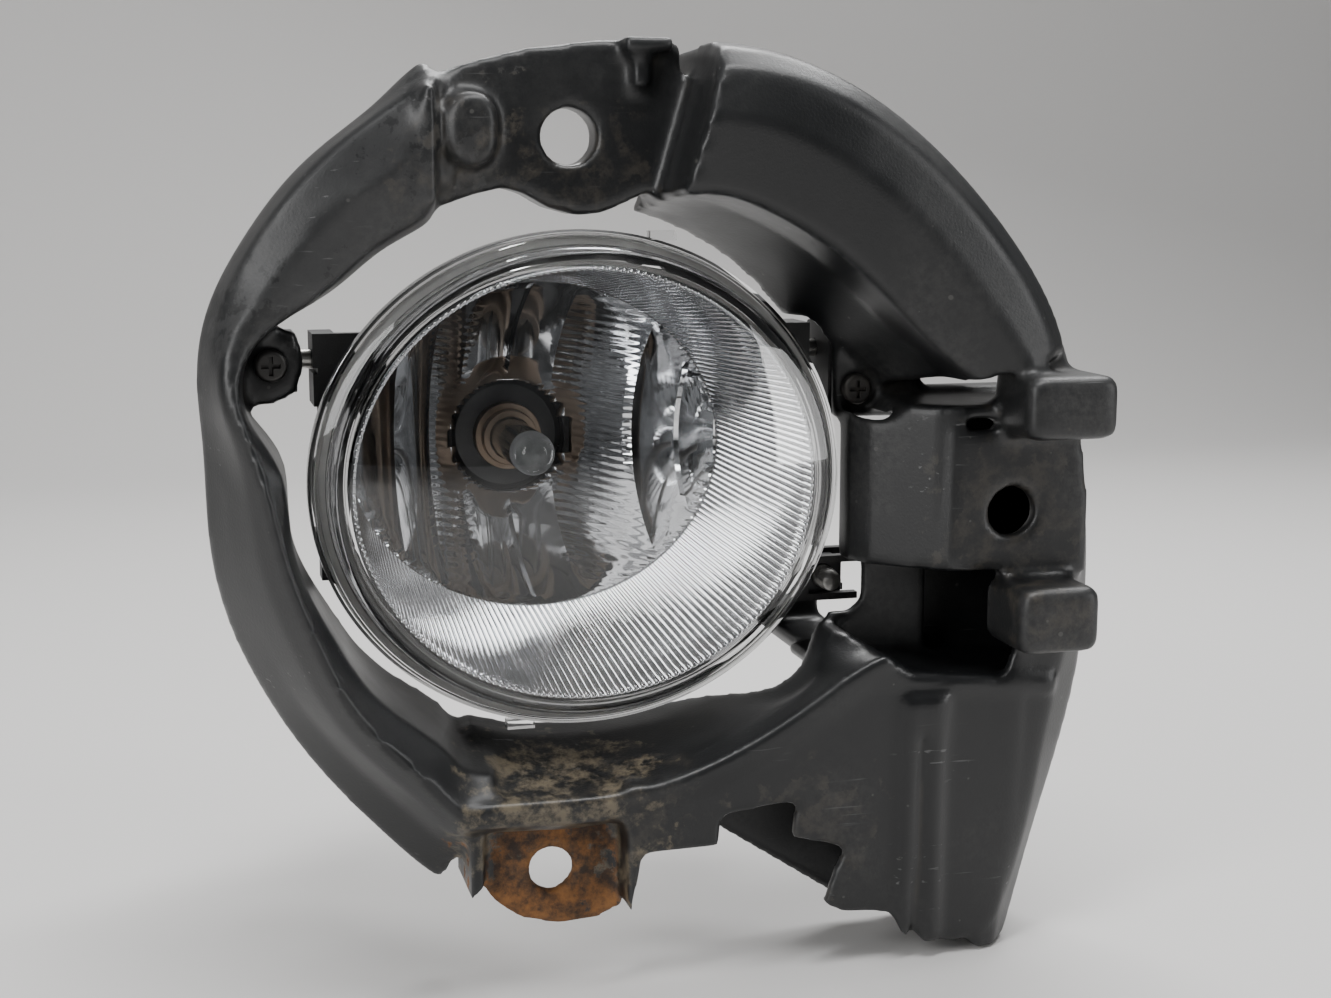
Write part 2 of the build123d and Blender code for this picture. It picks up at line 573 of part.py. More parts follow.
if __name__ == "__main__":
    os.makedirs("parts", exist_ok=True)
    save("mounting_bracket", mounting_bracket())
    save("lens_cover", lens_cover())
    save("lens_seal", lens_seal())
    save("lamp_housing", lamp_housing())
    save("bezel", bezel())
    save("reflector", reflector())
    save("bulb_glass", bulb_glass())
    save("bulb_filament", bulb_filament())
    save("bulb_leads", bulb_leads())
    save("bulb_pinch", bulb_pinch())
    save("bulb_ferrule", bulb_ferrule())
    save("bulb_base", bulb_base())
    save("bulb_seal", bulb_seal())
    save("bulb_terminals", bulb_terminals())
    save("vent_cap", vent_cap())
    save("pivot_block_left", pivot_block(-1, LEFT_EAR))
    save("pivot_block_right", pivot_block(1, RIGHT_EAR))
    save("pivot_pins", pivot_pins())
    save("ear_screws", ear_screws())
    save("aim_screw", aim_screw())
    save("aim_clip", aim_clip())
    save("aim_nut", aim_nut())
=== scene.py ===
from math import atan2, cos, pi, radians, sin

import bmesh
import bpy
from mathutils import Matrix, Vector


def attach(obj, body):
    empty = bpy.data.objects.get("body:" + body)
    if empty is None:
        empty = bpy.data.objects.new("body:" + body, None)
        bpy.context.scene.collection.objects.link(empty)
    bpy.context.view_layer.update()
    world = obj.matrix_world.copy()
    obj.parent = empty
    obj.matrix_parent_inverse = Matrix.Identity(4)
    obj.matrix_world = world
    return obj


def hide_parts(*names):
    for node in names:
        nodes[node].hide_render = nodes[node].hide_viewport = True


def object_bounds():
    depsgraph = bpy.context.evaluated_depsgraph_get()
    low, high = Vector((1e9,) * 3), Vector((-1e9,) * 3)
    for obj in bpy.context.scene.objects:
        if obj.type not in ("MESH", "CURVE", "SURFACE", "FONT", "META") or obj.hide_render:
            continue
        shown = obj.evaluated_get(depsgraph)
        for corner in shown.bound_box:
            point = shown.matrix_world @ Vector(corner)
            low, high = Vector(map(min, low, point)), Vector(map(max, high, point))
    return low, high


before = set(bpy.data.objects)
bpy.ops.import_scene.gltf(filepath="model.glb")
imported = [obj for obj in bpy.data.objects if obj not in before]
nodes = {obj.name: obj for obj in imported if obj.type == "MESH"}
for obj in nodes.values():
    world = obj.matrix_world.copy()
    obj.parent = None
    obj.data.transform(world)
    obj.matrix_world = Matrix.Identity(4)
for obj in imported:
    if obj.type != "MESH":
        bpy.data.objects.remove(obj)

cad_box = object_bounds()

# Mounting bracket. One injection moulding in black filled polypropylene: a hollow ring of
# even wall with rolled edges, pulled from a steel tool, so every corner is softly rounded.
# Road dust lies in its corners, and rust from a clip nut has run over the lower tab.

mm = 0.001
VOXEL = 1.15 * mm


def set_values(node, values):
    """Puts plain values on a node's input sockets."""
    for socket, value in values.items():
        node.inputs[socket].default_value = value


def add_node(tree, kind, links=None, **values):
    """A node in the tree, with socket values from values and inputs joined from links."""
    node = tree.nodes.new(kind)
    set_values(node, {name.replace("_", " "): value for name, value in values.items()})
    for socket, source in (links or {}).items():
        tree.links.new(source, node.inputs[socket])
    return node


def add_maths(tree, operation, first, second=0.5, third=None):
    """A maths node: each argument is a socket or a number."""
    node = tree.nodes.new("ShaderNodeMath")
    node.operation = operation
    for place, item in enumerate((first, second, third)):
        if item is None:
            continue
        if isinstance(item, (int, float)):
            node.inputs[place].default_value = item
        else:
            tree.links.new(item, node.inputs[place])
    return node.outputs[0]


def add_range(tree, source, low, high, to_low=0.0, to_high=1.0):
    """Spreads a socket's low..high over to_low..to_high, and holds it there."""
    node = tree.nodes.new("ShaderNodeMapRange")
    node.interpolation_type = "SMOOTHSTEP"
    tree.links.new(source, node.inputs["Value"])
    set_values(node, {"From Min": low, "From Max": high, "To Min": to_low, "To Max": to_high})
    return node.outputs["Result"]


def add_mix(tree, amount, first, second):
    """Mixes two colours: amount is a socket or number, the colours are sockets or tuples."""
    node = tree.nodes.new("ShaderNodeMix")
    node.data_type = "RGBA"
    for place, item in ((0, amount), (6, first), (7, second)):
        if isinstance(item, bpy.types.NodeSocket):
            tree.links.new(item, node.inputs[place])
        else:
            node.inputs[place].default_value = item
    return node.outputs[2]


def add_noise(tree, where, scale, detail=3.0, rough=0.55, distortion=0.0):
    """Noise over the given coordinates, from 0 to 1."""
    node = add_node(tree, "ShaderNodeTexNoise", {"Vector": where}, Scale=scale, Detail=detail,
                    Roughness=rough, Distortion=distortion)
    return node.outputs["Fac"]


def new_group(name, inputs, outputs):
    """An empty shader node group with its sockets, and its two end nodes."""
    group = bpy.data.node_groups.new(name, "ShaderNodeTree")
    for label, kind, value in inputs:
        socket = group.interface.new_socket(label, in_out="INPUT", socket_type=kind)
        socket.default_value = value
    for label, kind in outputs:
        group.interface.new_socket(label, in_out="OUTPUT", socket_type=kind)
    return group, group.nodes.new("NodeGroupInput"), group.nodes.new("NodeGroupOutput")


def new_material(name):
    """A material with an empty Principled shader, its tree and object coordinates."""
    material = bpy.data.materials.new(name)
    material.use_nodes = True
    tree = material.node_tree
    shader = tree.nodes["Principled BSDF"]
    where = tree.nodes.new("ShaderNodeTexCoord").outputs["Object"]
    return material, tree, shader, where


def place_group(tree, group, links=None, **values):
    """Puts a shared effect in a material, with its own values."""
    node = tree.nodes.new("ShaderNodeGroup")
    node.node_tree = group
    set_values(node, {name.replace("_", " "): value for name, value in values.items()})
    for socket, source in (links or {}).items():
        tree.links.new(source, node.inputs[socket])
    return node


def add_bump(tree, shader, height, strength, distance):
    """Feeds a height into the shader's normal."""
    bump = add_node(tree, "ShaderNodeBump", {"Height": height}, Strength=strength, Distance=distance)
    tree.links.new(bump.outputs["Normal"], shader.inputs["Normal"])


def cad_copy(node):
    """A merged copy of a CAD node's mesh."""
    bm = bmesh.new()
    bm.from_mesh(nodes[node].data)
    bmesh.ops.remove_doubles(bm, verts=bm.verts, dist=0.002 * mm)
    return bm


def make_piece(name, bm, material, body, stands_for=(), sharp=35.0):
    """Turns a bmesh into a finished piece on its body, smooth up to the sharp angle."""
    mesh = bpy.data.meshes.new(name)
    for face in bm.faces:
        face.smooth = True
    bm.to_mesh(mesh)
    bm.free()
    mesh.set_sharp_from_angle(angle=radians(sharp))
    mesh.materials.append(material)
    piece = bpy.data.objects.new(name, mesh)
    bpy.context.scene.collection.objects.link(piece)
    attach(piece, body)
    if stands_for:
        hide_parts(*stands_for)
    return piece


# Shared effect: dust and scratches of road use, put out as masks and a height.
road_wear, ends_in, ends_out = new_group(
    "road wear",
    [("Where", "NodeSocketVector", (0, 0, 0)), ("Dust", "NodeSocketFloat", 0.5),
     ("Grain Size", "NodeSocketFloat", 1.0)],
    [("Tone", "NodeSocketFloat"), ("Dust Mask", "NodeSocketFloat"),
     ("Scratch Mask", "NodeSocketFloat"), ("Height", "NodeSocketFloat")],
)
coarse = add_noise(road_wear, ends_in.outputs["Where"], 26.0, 4.0)
fine = add_noise(road_wear, ends_in.outputs["Where"], 620.0, 3.0, 0.7)
speck = add_node(road_wear, "ShaderNodeTexVoronoi", {"Vector": ends_in.outputs["Where"]}, Scale=260.0)
speck_size = add_noise(road_wear, ends_in.outputs["Where"], 150.0, 2.0)
speck_reach = add_maths(road_wear, "MULTIPLY", add_range(road_wear, speck_size, 0.45, 0.75), 0.2)
speck_gap = add_maths(road_wear, "SUBTRACT", speck_reach, speck.outputs["Distance"])
specks = add_range(road_wear, speck_gap, 0.0, 0.06)
film = add_range(road_wear, coarse, 0.45, 0.72)
film_broken = add_maths(road_wear, "MULTIPLY", film, add_range(road_wear, fine, 0.3, 0.7))
dust_all = add_maths(road_wear, "MAXIMUM", specks, add_maths(road_wear, "MULTIPLY", film_broken, 0.45))
dust_out = add_maths(road_wear, "MULTIPLY", dust_all, ends_in.outputs["Dust"])
stretch = add_node(road_wear, "ShaderNodeMapping", {"Vector": ends_in.outputs["Where"]},
                   Rotation=(0.3, 0.9, 0.2), Scale=(40.0, 900.0, 1100.0))
hair = add_noise(road_wear, stretch.outputs["Vector"], 1.0, 2.0)
hair_patch = add_range(road_wear, add_noise(road_wear, ends_in.outputs["Where"], 38.0, 2.0), 0.52, 0.68)
scratches = add_maths(road_wear, "MULTIPLY", add_range(road_wear, hair, 0.66, 0.74), hair_patch)
grain_scale = add_maths(road_wear, "DIVIDE", 2400.0, ends_in.outputs["Grain Size"])
grain = add_node(road_wear, "ShaderNodeTexNoise",
                 {"Vector": ends_in.outputs["Where"], "Scale": grain_scale}, Detail=1.0)
height_all = add_maths(road_wear, "MULTIPLY_ADD", grain.outputs["Fac"], 0.35, coarse)
height_all = add_maths(road_wear, "SUBTRACT", height_all, add_maths(road_wear, "MULTIPLY", scratches, 0.5))
road_wear.links.new(coarse, ends_out.inputs["Tone"])
road_wear.links.new(dust_out, ends_out.inputs["Dust Mask"])
road_wear.links.new(scratches, ends_out.inputs["Scratch Mask"])
road_wear.links.new(height_all, ends_out.inputs["Height"])

# Shared effect: a ragged stain round one spot.
stain, ends_in, ends_out = new_group(
    "stain",
    [("Where", "NodeSocketVector", (0, 0, 0)), ("Spot", "NodeSocketVector", (0, 0, 0)),
     ("Reach", "NodeSocketFloat", 0.01), ("Ragged", "NodeSocketFloat", 0.006)],
    [("Mask", "NodeSocketFloat")],
)
away = add_node(stain, "ShaderNodeVectorMath", {0: ends_in.outputs["Where"], 1: ends_in.outputs["Spot"]})
away.operation = "DISTANCE"
rag = add_maths(stain, "SUBTRACT", add_noise(stain, ends_in.outputs["Where"], 190.0, 5.0, 0.65), 0.5)
rag_size = add_maths(stain, "MULTIPLY", rag, ends_in.outputs["Ragged"])
rag_wide = add_maths(stain, "MULTIPLY", rag_size, 4.0)
ragged_away = add_maths(stain, "ADD", away.outputs["Value"], rag_wide)
left_over = add_maths(stain, "SUBTRACT", ends_in.outputs["Reach"], ragged_away)
mask = add_range(stain, left_over, -0.0015, 0.0025)
stain.links.new(mask, ends_out.inputs["Mask"])

bracket_black, tree, shader, where = new_material("scuffed black polypropylene")
wear = place_group(tree, road_wear, {"Where": where}, Dust=0.8, Grain_Size=1.3)
plastic = add_mix(tree, wear.outputs["Tone"], (0.004, 0.0043, 0.0047, 1), (0.010, 0.0107, 0.0115, 1))
edge = add_range(tree, tree.nodes.new("ShaderNodeNewGeometry").outputs["Pointiness"], 0.52, 0.60)
plastic = add_mix(tree, add_maths(tree, "MULTIPLY", edge, 0.22), plastic, (0.06, 0.062, 0.065, 1))
plastic = add_mix(tree, add_maths(tree, "MULTIPLY", wear.outputs["Scratch Mask"], 0.6), plastic,
                  (0.13, 0.13, 0.13, 1))
hollow = add_range(tree, tree.nodes["Geometry"].outputs["Pointiness"], 0.44, 0.49, 1.0, 0.0)
grime_patch = add_range(tree, add_noise(tree, where, 60.0, 4.0), 0.42, 0.66)
grime = add_maths(tree, "MULTIPLY", hollow, grime_patch)
grime = add_maths(tree, "MULTIPLY", grime, 0.4)
plastic = add_mix(tree, grime, plastic, (0.085, 0.07, 0.053, 1))
plastic = add_mix(tree, add_maths(tree, "MULTIPLY", wear.outputs["Dust Mask"], 0.34), plastic,
                  (0.15, 0.145, 0.135, 1))
scuff_zone = place_group(tree, stain, {"Where": where}, Spot=(-0.055, -0.010, 0.060), Reach=0.030,
                         Ragged=0.030)
scuffs = add_maths(tree, "MULTIPLY", scuff_zone.outputs["Mask"], add_noise(tree, where, 90.0, 5.0, 0.7))
plastic = add_mix(tree, add_maths(tree, "MULTIPLY", scuffs, 0.4), plastic, (0.075, 0.075, 0.075, 1))
mud_spots = [((0.0886, -0.020, -0.0073), 0.0155, 0.016), ((0.094, -0.034, -0.0240), 0.0105, 0.016),
             ((-0.003, -0.004, 0.0560), 0.016, 0.020), ((-0.0250, -0.008, 0.0640), 0.011, 0.018),
             ((0.006, -0.018, -0.0650), 0.012, 0.020), ((0.046, -0.020, -0.0740), 0.010, 0.018)]
for spot, reach, ragged in mud_spots:
    mud = place_group(tree, stain, {"Where": where}, Spot=spot, Reach=reach, Ragged=ragged)
    broken = add_maths(tree, "MULTIPLY", mud.outputs["Mask"],
                       add_range(tree, add_noise(tree, where, 240.0, 4.0, 0.7), 0.38, 0.68))
    plastic = add_mix(tree, add_maths(tree, "MULTIPLY", broken, 0.26), plastic, (0.085, 0.072, 0.056, 1))
beige = place_group(tree, stain, {"Where": where}, Spot=(-0.0090, -0.010, -0.0700), Reach=0.0225,
                    Ragged=0.010)
rust = place_group(tree, stain, {"Where": where}, Spot=(-0.0090, -0.010, -0.0835), Reach=0.0165,
                   Ragged=0.013)
rust_tone = add_mix(tree, add_range(tree, add_noise(tree, where, 170.0, 5.0, 0.7), 0.35, 0.68),
                    (0.030, 0.018, 0.012, 1), (0.27, 0.115, 0.032, 1))
beige_broken = add_maths(tree, "MULTIPLY", beige.outputs["Mask"],
                         add_range(tree, add_noise(tree, where, 130.0, 5.0, 0.7), 0.44, 0.62))
on_tab = tree.nodes.new("ShaderNodeSeparateXYZ")
tree.links.new(where, on_tab.inputs[0])
flat_front = add_range(tree, on_tab.outputs["Y"], -0.0120, -0.0105)
before_back = add_range(tree, on_tab.outputs["Y"], -0.002, 0.002, 1.0, 0.0)
flat_front = add_maths(tree, "MULTIPLY", flat_front, before_back)
beige_all = add_maths(tree, "MULTIPLY", beige_broken, 0.55)
plastic = add_mix(tree, beige_all, plastic, (0.22, 0.18, 0.12, 1))
rust_all = add_maths(tree, "MULTIPLY", add_maths(tree, "MULTIPLY", rust.outputs["Mask"], flat_front), 0.92)
plastic = add_mix(tree, rust_all, plastic, rust_tone)
tree.links.new(plastic, shader.inputs["Base Color"])
rough = add_range(tree, wear.outputs["Tone"], 0.3, 0.7, 0.30, 0.46)
rough = add_maths(tree, "MAXIMUM", rough, add_maths(tree, "MULTIPLY", rust_all, 0.85))
rough = add_maths(tree, "MAXIMUM", rough, add_maths(tree, "MULTIPLY", grime, 1.4))
tree.links.new(rough, shader.inputs["Roughness"])
shader.inputs["Specular IOR Level"].default_value = 0.5
add_bump(tree, shader, wear.outputs["Height"], 0.35, 0.25 * mm)

bm = cad_copy("mounting_bracket")
bracket = make_piece("bracket_moulding", bm, bracket_black, "bracket", ["mounting_bracket"], 180.0)
skin = bracket.modifiers.new("even skin", "REMESH")
skin.mode = "VOXEL"
skin.voxel_size = VOXEL
skin.use_smooth_shade = True
soften = bracket.modifiers.new("moulded corners", "SMOOTH")
soften.factor = 0.5
soften.iterations = 5

# Lamp housing. A heat-proof black moulding with a fine matt grain: the bucket, its lens
# flange, the bulb neck, the breather stub, the two pivot arms and the fork for the aiming nut.

MOULD_EDGE = 0.25 * mm

housing_black, tree, shader, where = new_material("grained black housing")
wear = place_group(tree, road_wear, {"Where": where}, Dust=0.7, Grain_Size=0.8)
tone = add_mix(tree, wear.outputs["Tone"], (0.012, 0.012, 0.013, 1), (0.030, 0.030, 0.031, 1))
tone = add_mix(tree, add_maths(tree, "MULTIPLY", wear.outputs["Dust Mask"], 0.5), tone, (0.2, 0.18, 0.16, 1))
tree.links.new(tone, shader.inputs["Base Color"])
tree.links.new(add_range(tree, wear.outputs["Tone"], 0.3, 0.7, 0.45, 0.62), shader.inputs["Roughness"])
add_bump(tree, shader, wear.outputs["Height"], 0.4, 0.2 * mm)


def eased_copy(name, node, material, body, width, sharp=32.0):
    """A CAD node's own shape with its sharp edges eased by width."""
    bm = cad_copy(node)
    bmesh.ops.dissolve_limit(bm, angle_limit=radians(0.6), verts=bm.verts, edges=bm.edges)
    piece = make_piece(name, bm, material, body, [node], sharp)
    ease = piece.modifiers.new("eased edges", "BEVEL")
    ease.width = width
    ease.segments = 2
    ease.limit_method = "ANGLE"
    ease.angle_limit = radians(sharp)
    ease.use_clamp_overlap = True
    ease.harden_normals = True
    return piece


eased_copy("housing_shell", "lamp_housing", housing_black, "lamp", MOULD_EDGE)

# Clamp blocks. Two small black mouldings screwed behind the bracket's ears, each gripping
# one of the steel pins that the housing's arms tilt on.

for name, node in (("left_clamp", "pivot_block_left"), ("right_clamp", "pivot_block_right")):
    eased_copy(name, node, housing_black, "bracket", MOULD_EDGE)

# Reflector. A thin moulding coated with a vacuum of aluminium under clear lacquer, its bowl
# split into upright strips that each spread the light a little sideways.

MOUTH_X, MOUTH_Z, MOUTH_A, MOUTH_B, MOUTH_Y = -8.2 * mm, 6.8 * mm, 39.7 * mm, 34.5 * mm, 8.6 * mm
BULB_X, BULB_Z, BULB_HOLE, FLOOR_Y = -7.3 * mm, 3.8 * mm, 13.0 * mm, 45.0 * mm
STRIPS = [-50.5, -35.0, -26.0, -17.2, -7.3, 3.9, 18.4, 26.0, 34.0]
STRIP_BULGE = [0.9, 1.1, 0.9, 1.2, 1.0, 1.4, 0.9, 1.0]
STRIP_TILT = [0.4, 0.9, -0.8, 0.8, -0.9, 0.7, 1.0, -0.8]
RIBBED = (2, 5)
RIB_PITCH, RIB_HEIGHT, RIB_SLANT = 1.7 * mm, 0.16, 2.4 * mm
COLUMNS, ROWS, GRID_REACH = 8, 260, 2.08
MOUTH_LIP, HOLE_LAP, MIRROR_WALL = 1.6 * mm, 0.2 * mm, 0.9 * mm

bright_mirror, tree, shader, where = new_material("vacuum coated mirror")
haze = add_noise(tree, where, 160.0, 4.0)
tree.links.new(add_mix(tree, haze, (0.80, 0.81, 0.83, 1), (0.90, 0.90, 0.91, 1)), shader.inputs["Base Color"])
tree.links.new(add_range(tree, haze, 0.35, 0.7, 0.03, 0.09), shader.inputs["Roughness"])
shader.inputs["Metallic"].default_value = 1.0
add_bump(tree, shader, add_noise(tree, where, 45.0, 2.0), 0.12, 0.3 * mm)


def bowl_depth(x, z):
    """The bowl's depth at a point across it, from an oval mouth to the round bulb hole."""
    share = 0.0
    for _ in range(12):
        mid_x = MOUTH_X + (BULB_X - MOUTH_X) * share
        mid_z = MOUTH_Z + (BULB_Z - MOUTH_Z) * share
        squash = MOUTH_B / MOUTH_A + share * (1.0 - MOUTH_B / MOUTH_A)
        reach = ((x - mid_x) / MOUTH_A) ** 2 + ((z - mid_z) / (MOUTH_A * squash)) ** 2
        share = min(max((1.0 - reach) / (1.0 - (BULB_HOLE / MOUTH_A) ** 2), 0.0), 1.0)
    return MOUTH_Y + (FLOOR_Y - MOUTH_Y) * share, share


def past_bowl(face):
    """True for a face outside the mouth's lip or inside the bulb hole."""
    spot = face.calc_center_median()
    reach = (((spot.x - MOUTH_X) / (MOUTH_A + MOUTH_LIP)) ** 2
             + ((spot.z - MOUTH_Z) / (MOUTH_B + MOUTH_LIP)) ** 2)
    from_bulb = (spot.x - BULB_X) ** 2 + (spot.z - BULB_Z) ** 2
    outside = bowl_depth(spot.x, spot.z)[1] <= 0.0 and reach > 1.0
    return outside or from_bulb < (BULB_HOLE - HOLE_LAP) ** 2


bm = bmesh.new()
bmesh.ops.create_grid(bm, x_segments=COLUMNS * (len(STRIPS) - 1), y_segments=ROWS, size=0.5,
                      matrix=Matrix.Rotation(pi / 2, 4, "X"))
for vert in bm.verts:
    place = (vert.co.x + 0.5) * (len(STRIPS) - 1)
    strip = min(int(place + 1e-6), len(STRIPS) - 2)
    offset = place - strip
    x = (STRIPS[strip] + (STRIPS[strip + 1] - STRIPS[strip]) * offset) * mm
    z = MOUTH_Z + vert.co.z * GRID_REACH * MOUTH_B
    depth, share = bowl_depth(x, z)
    fade = min(1.0, share * 6.0) * min(1.0, (1.0 - share) * 8.0)
    slant = z + RIB_SLANT * offset
    ripple = RIB_HEIGHT * sin(pi * slant / RIB_PITCH) ** 2 if strip in RIBBED else 0.0
    curve = STRIP_BULGE[strip] * (1.0 - (2 * offset - 1) ** 2) + STRIP_TILT[strip] * offset
    vert.co = (x, depth - (curve + ripple) * fade * mm, z)
bmesh.ops.delete(bm, geom=[f for f in bm.faces if past_bowl(f)], context="FACES")
bmesh.ops.recalc_face_normals(bm, faces=bm.faces)
if sum(f.normal.y for f in bm.faces) > 0:
    bmesh.ops.reverse_faces(bm, faces=bm.faces)
reflector = make_piece("reflector_bowl", bm, bright_mirror, "lamp", ["reflector"], 14.0)
skin = reflector.modifiers.new("moulded wall", "SOLIDIFY")
skin.thickness = MIRROR_WALL
skin.offset = -1.0

# Bezel. A second metallised moulding that hides the gap between lens and bowl: fine reeds
# run in from its beaded rim to the off-centre mouth of the reflector.

REEDS = 200
BEZEL_A, BEZEL_B, BEZEL_Y = 47.9 * mm, 44.3 * mm, -6.4 * mm
REED_HEIGHT, REED_FADE, BEAD_LIFT = 0.72 * mm, 0.35, 1.5
BEZEL_FLARE, BEZEL_LAP, BEZEL_WALL = 1.12, 0.2 * mm, 0.8 * mm

bezel_bright, tree, shader, where = new_material("metallised reeded trim")
haze = add_noise(tree, where, 210.0, 4.0)
tree.links.new(add_mix(tree, haze, (0.46, 0.47, 0.49, 1), (0.66, 0.66, 0.67, 1)), shader.inputs["Base Color"])
tree.links.new(add_range(tree, haze, 0.35, 0.7, 0.05, 0.13), shader.inputs["Roughness"])
shader.inputs["Metallic"].default_value = 1.0
add_bump(tree, shader, haze, 0.08, 0.2 * mm)

bm = bmesh.new()
bmesh.ops.create_circle(bm, segments=REEDS * 6, radius=1.0, matrix=Matrix.Rotation(pi / 2, 4, "X"))
ring = list(bm.edges)
turn = {vert: (vert.co.x, vert.co.z) for vert in bm.verts}
SHARES = [0.0, 0.02, 0.05, 0.1, 0.22, 0.34, 0.46, 0.58, 0.7, 0.82, 0.92, 0.98, 1.0]
for place, share in enumerate(SHARES):
    for vert in {v for e in ring for v in e.verts}:
        across, up = turn[vert]
        angle_share = abs(sin(REEDS / 2 * atan2(up, across)))
        lift = REED_HEIGHT * angle_share * (1.0 - REED_FADE * share)
        if share < 0.05:
            lift = REED_HEIGHT * BEAD_LIFT * angle_share
        vert.co = (MOUTH_X * share + across * (BEZEL_A + (MOUTH_A - BEZEL_A) * share),
                   BEZEL_Y + (MOUTH_Y - BEZEL_Y - BEZEL_LAP) * share ** BEZEL_FLARE - lift,
                   MOUTH_Z * share + up * (BEZEL_B + (MOUTH_B - BEZEL_B) * share))
    if place < len(SHARES) - 1:
        before = {v for e in ring for v in e.verts}
        grown = bmesh.ops.extrude_edge_only(bm, edges=ring)
        fresh = [v for v in grown["geom"] if isinstance(v, bmesh.types.BMVert)]
        ring = [e for e in grown["geom"] if isinstance(e, bmesh.types.BMEdge) and len(e.link_faces) == 1]
        for vert in fresh:
            for link in vert.link_edges:
                other = link.other_vert(vert)
                if other in before:
                    turn[vert] = turn[other]
bmesh.ops.recalc_face_normals(bm, faces=bm.faces)
bezel = make_piece("reeded_bezel", bm, bezel_bright, "lamp", ["bezel"], 60.0)
skin = bezel.modifiers.new("moulded wall", "SOLIDIFY")
skin.thickness = BEZEL_WALL
skin.offset = -1.0

# Lens. Clear moulded cover with a stepped rim and a shallow dome, welded over the seal.

LENS_OVAL = 0.92
DOME_R, DOME_Y, DOME_DROP = 50.2, -19.0, 9.4
INNER_R, INNER_Y, INNER_DROP = 48.4, -16.6, 8.8
DOME_STEPS, DOME_POWER = 14, 2.1
TABS = [(14.8, 20.4, 49.4, 51.4), (-16.3, -10.5, -52.4, -50.6)]
TAB_THICK, TAB_Y = 3.2 * mm, 1.0 * mm

clear_lens, tree, shader, where = new_material("clear moulded lens")
film = add_noise(tree, where, 120.0, 4.0)
tree.links.new(add_mix(tree, film, (0.94, 0.95, 0.95, 1), (0.98, 0.98, 0.98, 1)), shader.inputs["Base Color"])
tree.links.new(add_range(tree, film, 0.4, 0.8, 0.0, 0.035), shader.inputs["Roughness"])
shader.inputs["Transmission Weight"].default_value = 1.0
shader.inputs["IOR"].default_value = 1.49
add_bump(tree, shader, add_noise(tree, where, 30.0, 2.0), 0.03, 0.3 * mm)


def spun(points, steps, x=0.0, z=0.0, oval=1.0):
    """A closed shape turned about Y from (radius, y) points in millimetres."""
    bm = bmesh.new()
    verts = [bm.verts.new((r * mm, y * mm, 0)) for r, y in points]
    edges = [bm.edges.new(pair) for pair in zip(verts, verts[1:])]
    if points[0][0] > 0:
        edges.append(bm.edges.new((verts[-1], verts[0])))
    bmesh.ops.spin(bm, geom=[*verts, *edges], cent=(0, 0, 0), axis=(0, 1, 0), angle=2 * pi,
                   steps=steps, use_merge=True)
    bmesh.ops.remove_doubles(bm, verts=bm.verts, dist=0.001 * mm)
    bmesh.ops.recalc_face_normals(bm, faces=bm.faces)
    bmesh.ops.scale(bm, vec=(1, 1, oval), verts=bm.verts)
    bmesh.ops.translate(bm, vec=(x, 0, z), verts=bm.verts)
    return bm


outside = [(DOME_R * step / DOME_STEPS, DOME_Y + DOME_DROP * (step / DOME_STEPS) ** DOME_POWER)
           for step in range(DOME_STEPS + 1)]
rim = [(51.2, -9.3), (52.0, -8.2), (52.5, -6.2), (52.8, -5.4), (53.6, -4.9), (54.6, -4.4), (55.0, -3.6),
       (55.2, -2.2), (55.8, -1.6), (56.2, -1.2), (56.3, -0.8), (56.3, 2.8), (56.1, 3.0), (54.1, 3.0),
       (53.9, 2.8), (53.9, -0.6), (51.9, -0.6), (51.4, -3.2), (50.0, -4.6), (48.4, -7.8)]
inside = [(INNER_R * step / DOME_STEPS, INNER_Y + INNER_DROP * (step / DOME_STEPS) ** DOME_POWER)
          for step in range(DOME_STEPS - 1, -1, -1)]
bm = spun(outside + rim + inside, 160, oval=LENS_OVAL)
for x0, x1, z0, z1 in TABS:
    tab = bmesh.ops.create_cube(bm, size=1.0)["verts"]
    bmesh.ops.scale(bm, vec=((x1 - x0) * mm, TAB_THICK, (z1 - z0) * mm), verts=tab)
    bmesh.ops.translate(bm, vec=((x0 + x1) / 2 * mm, TAB_Y, (z0 + z1) / 2 * mm), verts=tab)
lens = make_piece("lens_moulding", bm, clear_lens, "lamp", ["lens_cover"], 28.0)

# Skirt of the bezel. The same bright moulding's outer edge, stepped so that it follows the
# shoulder of the lens from inside.

BEZEL_OVAL = 0.9235
skirt = [(47.2, -6.9), (47.7, -7.1), (48.2, -6.6), (48.4, -5.4), (49.6, -3.9), (50.6, -2.8), (51.1, -0.6),
         (51.2, 0.9), (50.3, 0.9), (50.0, -0.6), (49.3, -2.0), (48.2, -3.2), (47.2, -4.4)]
skirt_piece = make_piece("bezel_skirt", spun(skirt, 160, oval=BEZEL_OVAL), bezel_bright, "lamp", (), 30.0)

# Lens seal. A flat ring of pale grey sealant that glues the lens rim to the housing's
# flange and keeps water out; it shows as a thin line behind the rim.

pale_sealant, tree, shader, where = new_material("pale grey sealant")
tone = add_noise(tree, where, 320.0, 4.0)
tree.links.new(add_mix(tree, tone, (0.30, 0.30, 0.29, 1), (0.48, 0.47, 0.45, 1)), shader.inputs["Base Color"])
tree.links.new(add_range(tree, tone, 0.3, 0.7, 0.45, 0.65), shader.inputs["Roughness"])
add_bump(tree, shader, tone, 0.3, 0.15 * mm)
eased_copy("lens_ring_seal", "lens_seal", pale_sealant, "lamp", 0.15 * mm)

# Breather cap. Soft black rubber, pushed over the housing's breather stub so that the lamp
# can breathe without taking in water.

